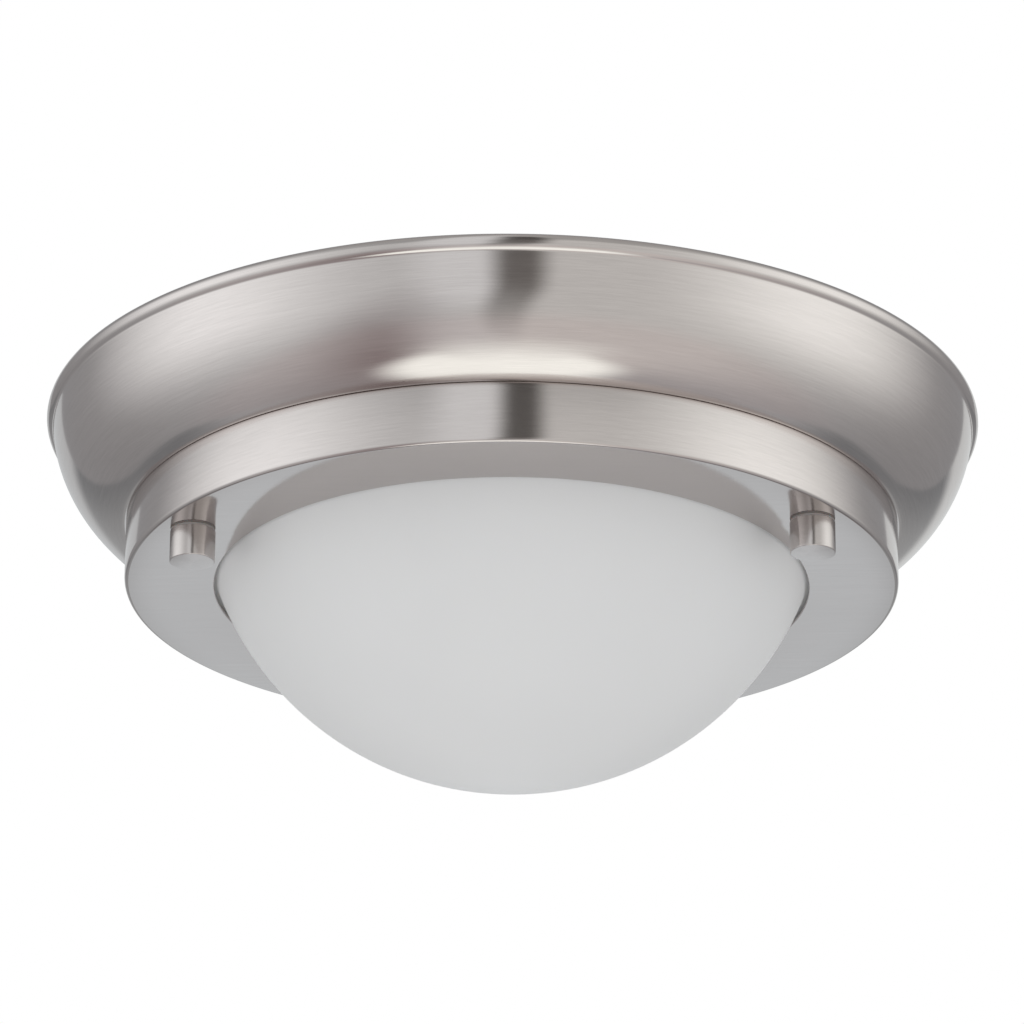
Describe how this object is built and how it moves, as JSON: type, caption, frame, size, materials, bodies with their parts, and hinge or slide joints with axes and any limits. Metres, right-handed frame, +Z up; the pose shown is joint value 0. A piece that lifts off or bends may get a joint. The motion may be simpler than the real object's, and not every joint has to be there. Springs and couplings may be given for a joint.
{
  "type": "flush mount ceiling light",
  "caption": "Round flush mount ceiling light: spun bowl pan, drum cover held by thumb nuts, domed opal glass, light board, driver and mounting strap inside.",
  "frame": {"origin": "middle of the ceiling plane: the top face of the mounting strap, midway between the outlet box screws; the pan's rim touches the same plane", "axes": "+Z up into the ceiling, so the light hangs to -Z; +X along the mounting strap; -Y is the side the picture was taken from"},
  "size_m": [0.2286, 0.2286, 0.0917],
  "materials": {
    "brushed_nickel": "satin nickel, brushed round the axis",
    "opal_glass": "satin opal",
    "zinc_steel": "bright zinc",
    "white_painted": "semi-gloss white",
    "green_screw": "green zinc",
    "brass": "plain",
    "tinned_copper": "satin",
    "black_rubber": "matte",
    "clear_silicone": "matte",
    "washer_nylon": "natural",
    "driver_plastic": "fine texture",
    "terminal_plastic": "smooth",
    "board_green": "solder mask",
    "board_white": "white solder mask",
    "led_phosphor": "yellow phosphor in white",
    "connector_plastic": "smooth",
    "ferrite": "matte",
    "capacitor_sleeve": "shrink sleeve",
    "insulation_black": "smooth",
    "insulation_white": "smooth",
    "insulation_green": "smooth",
    "insulation_red": "smooth"
  },
  "bodies": {
    "fixture": {"mounting_strap": "zinc_steel", "strap_ground_screw": "green_screw", "fixture_screws": "zinc_steel", "pan": "brushed_nickel", "cover_studs": "zinc_steel", "stud_lock_nuts": "zinc_steel", "wire_grommet": "black_rubber", "driver_case": "driver_plastic", "driver_lid": "driver_plastic", "driver_board": "board_green", "driver_transformer": "ferrite", "driver_capacitors": "capacitor_sleeve", "driver_inductor": "ferrite", "driver_screws": "zinc_steel", "terminal_base": "terminal_plastic", "terminal_block": "terminal_plastic", "terminal_contacts": "brass", "terminal_screws": "zinc_steel", "earth_screw": "zinc_steel", "earth_nut": "zinc_steel", "earth_ring_terminal": "tinned_copper", "lead_live": "insulation_black", "lead_neutral": "insulation_white", "lead_earth": "insulation_green", "lead_led_plus": "insulation_red", "lead_led_minus": "insulation_black", "led_tray": "white_painted", "led_tray_screws": "zinc_steel", "led_board": "board_white", "led_board_screws": "zinc_steel", "led_packages": "led_phosphor", "led_connector": "connector_plastic"},
    "cover": {"drum_cover": "brushed_nickel", "glass_shade": "opal_glass", "glass_gasket": "clear_silicone", "clip_weld_studs": "zinc_steel", "clip_nuts": "zinc_steel", "glass_clip_1": "zinc_steel", "glass_clip_2": "zinc_steel", "glass_clip_3": "zinc_steel"},
    "washer_1": {"nut_washer_1": "washer_nylon"},
    "nut_1": {"thumb_nut_1": "brushed_nickel"},
    "washer_2": {"nut_washer_2": "washer_nylon"},
    "nut_2": {"thumb_nut_2": "brushed_nickel"},
    "washer_3": {"nut_washer_3": "washer_nylon"},
    "nut_3": {"thumb_nut_3": "brushed_nickel"}
  },
  "joints": [
    {"name": "cover_lift_off", "type": "slide", "parent": "fixture", "child": "cover", "axis": [0, 0, -1], "range_m": [0, 0.06]},
    {"name": "nut_1_travel", "type": "slide", "parent": "cover", "child": "washer_1", "axis": [0, 0, -1], "range_m": [0, 0.00477]},
    {"name": "nut_1_turn", "type": "hinge", "parent": "washer_1", "child": "nut_1", "pos_m": [0.07361, -0.0425, -0.0465], "axis": [0, 0, -1], "range_deg": [0, 2160]},
    {"name": "nut_2_travel", "type": "slide", "parent": "cover", "child": "washer_2", "axis": [0, 0, -1], "range_m": [0, 0.00477]},
    {"name": "nut_2_turn", "type": "hinge", "parent": "washer_2", "child": "nut_2", "pos_m": [0, 0.085, -0.0465], "axis": [0, 0, -1], "range_deg": [0, 2160]},
    {"name": "nut_3_travel", "type": "slide", "parent": "cover", "child": "washer_3", "axis": [0, 0, -1], "range_m": [0, 0.00477]},
    {"name": "nut_3_turn", "type": "hinge", "parent": "washer_3", "child": "nut_3", "pos_m": [-0.07361, -0.0425, -0.0465], "axis": [0, 0, -1], "range_deg": [0, 2160]}
  ],
  "couplings": [
    {"joint": "nut_1_travel", "follows": "nut_1_turn", "m_per_rad": 0.00012637},
    {"joint": "nut_2_travel", "follows": "nut_2_turn", "m_per_rad": 0.00012637},
    {"joint": "nut_3_travel", "follows": "nut_3_turn", "m_per_rad": 0.00012637}
  ]
}
